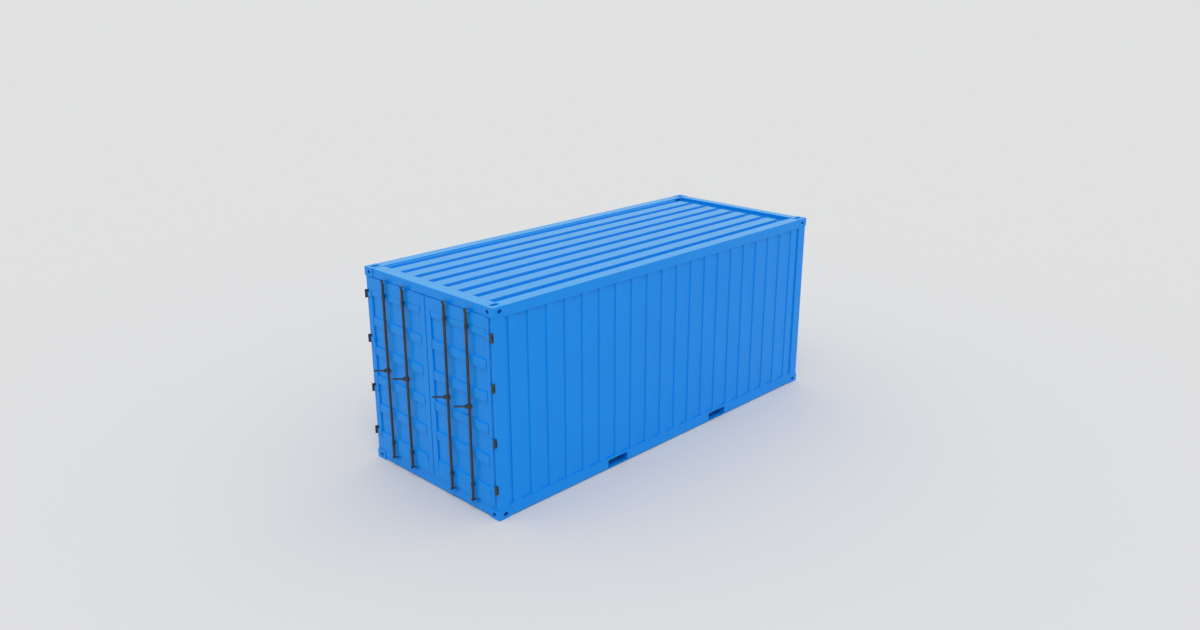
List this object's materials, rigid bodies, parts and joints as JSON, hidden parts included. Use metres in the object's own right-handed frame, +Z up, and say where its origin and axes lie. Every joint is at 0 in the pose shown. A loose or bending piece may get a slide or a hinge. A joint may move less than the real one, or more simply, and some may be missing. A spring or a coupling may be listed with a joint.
{
  "type": "shipping container",
  "caption": "Closed steel freight container with corrugated walls, lengthwise roof ribs, fork pockets, corner castings and two hinged end doors with lock rods.",
  "frame": {"origin": "on the ground under the middle of the four bottom corner castings", "axes": "+X along the length towards the closed end, doors at -X, +Y to the left side as seen from the doors, +Z up"},
  "size_m": [6.2276, 2.438, 2.591],
  "materials": {
    "blue_paint": "semi-matt paint",
    "lock_gear": "satin dark paint",
    "door_seal": "matt",
    "floor_wood": "oiled plywood"
  },
  "bodies": {
    "frame": {"top_corner_castings": "blue_paint", "bottom_corner_castings": "blue_paint", "door_header": "blue_paint", "door_sill": "blue_paint", "front_top_rail": "blue_paint", "front_bottom_rail": "blue_paint", "front_wall": "blue_paint", "roof_panel": "blue_paint", "floor_boards": "floor_wood", "cross_members": "blue_paint", "fork_pockets": "blue_paint", "cam_keepers": "blue_paint", "door_post_left": "blue_paint", "front_post_left": "blue_paint", "top_rail_left": "blue_paint", "bottom_rail_left": "blue_paint", "side_wall_left": "blue_paint", "hinge_brackets_left": "lock_gear", "door_post_right": "blue_paint", "front_post_right": "blue_paint", "top_rail_right": "blue_paint", "bottom_rail_right": "blue_paint", "side_wall_right": "blue_paint", "hinge_brackets_right": "lock_gear"},
    "left_door": {"door_stiles_left": "blue_paint", "door_rails_left": "blue_paint", "door_panel_left": "blue_paint", "door_gasket_left": "door_seal", "hinge_blades_left": "lock_gear", "rod_guides_left": "lock_gear"},
    "left_inner_lock_rod": {"lock_rod_left_inner": "lock_gear"},
    "left_inner_handle": {"handle_left_inner": "lock_gear"},
    "left_outer_lock_rod": {"lock_rod_left_outer": "lock_gear"},
    "left_outer_handle": {"handle_left_outer": "lock_gear"},
    "right_door": {"door_stiles_right": "blue_paint", "door_rails_right": "blue_paint", "door_panel_right": "blue_paint", "door_gasket_right": "door_seal", "hinge_blades_right": "lock_gear", "rod_guides_right": "lock_gear"},
    "right_inner_lock_rod": {"lock_rod_right_inner": "lock_gear"},
    "right_inner_handle": {"handle_right_inner": "lock_gear"},
    "right_outer_lock_rod": {"lock_rod_right_outer": "lock_gear"},
    "right_outer_handle": {"handle_right_outer": "lock_gear"}
  },
  "joints": [
    {"name": "left_door_hinge", "type": "hinge", "parent": "frame", "child": "left_door", "pos_m": [-3.045, 1.203, 0.3938], "axis": [0, 0, -1], "range_deg": [0, 230]},
    {"name": "left_inner_lock_rod_turn", "type": "hinge", "parent": "left_door", "child": "left_inner_lock_rod", "pos_m": [-3.065, 0.39982, 1.33], "axis": [0, 0, -1], "range_deg": [-45, 45]},
    {"name": "left_inner_handle_lift", "type": "hinge", "parent": "left_inner_lock_rod", "child": "left_inner_handle", "pos_m": [-3.09187, 0.42669, 1.33], "axis": [0.7071, 0.7071, 0], "range_deg": [0, 30]},
    {"name": "left_outer_lock_rod_turn", "type": "hinge", "parent": "left_door", "child": "left_outer_lock_rod", "pos_m": [-3.065, 0.79505, 1.33], "axis": [0, 0, -1], "range_deg": [-45, 45]},
    {"name": "left_outer_handle_lift", "type": "hinge", "parent": "left_outer_lock_rod", "child": "left_outer_handle", "pos_m": [-3.09187, 0.82192, 1.33], "axis": [0.7071, 0.7071, 0], "range_deg": [0, 30]},
    {"name": "right_door_hinge", "type": "hinge", "parent": "frame", "child": "right_door", "pos_m": [-3.045, -1.203, 0.3938], "axis": [0, 0, 1], "range_deg": [0, 230]},
    {"name": "right_inner_lock_rod_turn", "type": "hinge", "parent": "right_door", "child": "right_inner_lock_rod", "pos_m": [-3.065, -0.39982, 1.33], "axis": [0, 0, -1], "range_deg": [-45, 45]},
    {"name": "right_inner_handle_lift", "type": "hinge", "parent": "right_inner_lock_rod", "child": "right_inner_handle", "pos_m": [-3.09187, -0.37295, 1.33], "axis": [0.7071, 0.7071, 0], "range_deg": [0, 30]},
    {"name": "right_outer_lock_rod_turn", "type": "hinge", "parent": "right_door", "child": "right_outer_lock_rod", "pos_m": [-3.065, -0.79505, 1.33], "axis": [0, 0, -1], "range_deg": [-45, 45]},
    {"name": "right_outer_handle_lift", "type": "hinge", "parent": "right_outer_lock_rod", "child": "right_outer_handle", "pos_m": [-3.09187, -0.76818, 1.33], "axis": [0.7071, 0.7071, 0], "range_deg": [0, 30]}
  ]
}
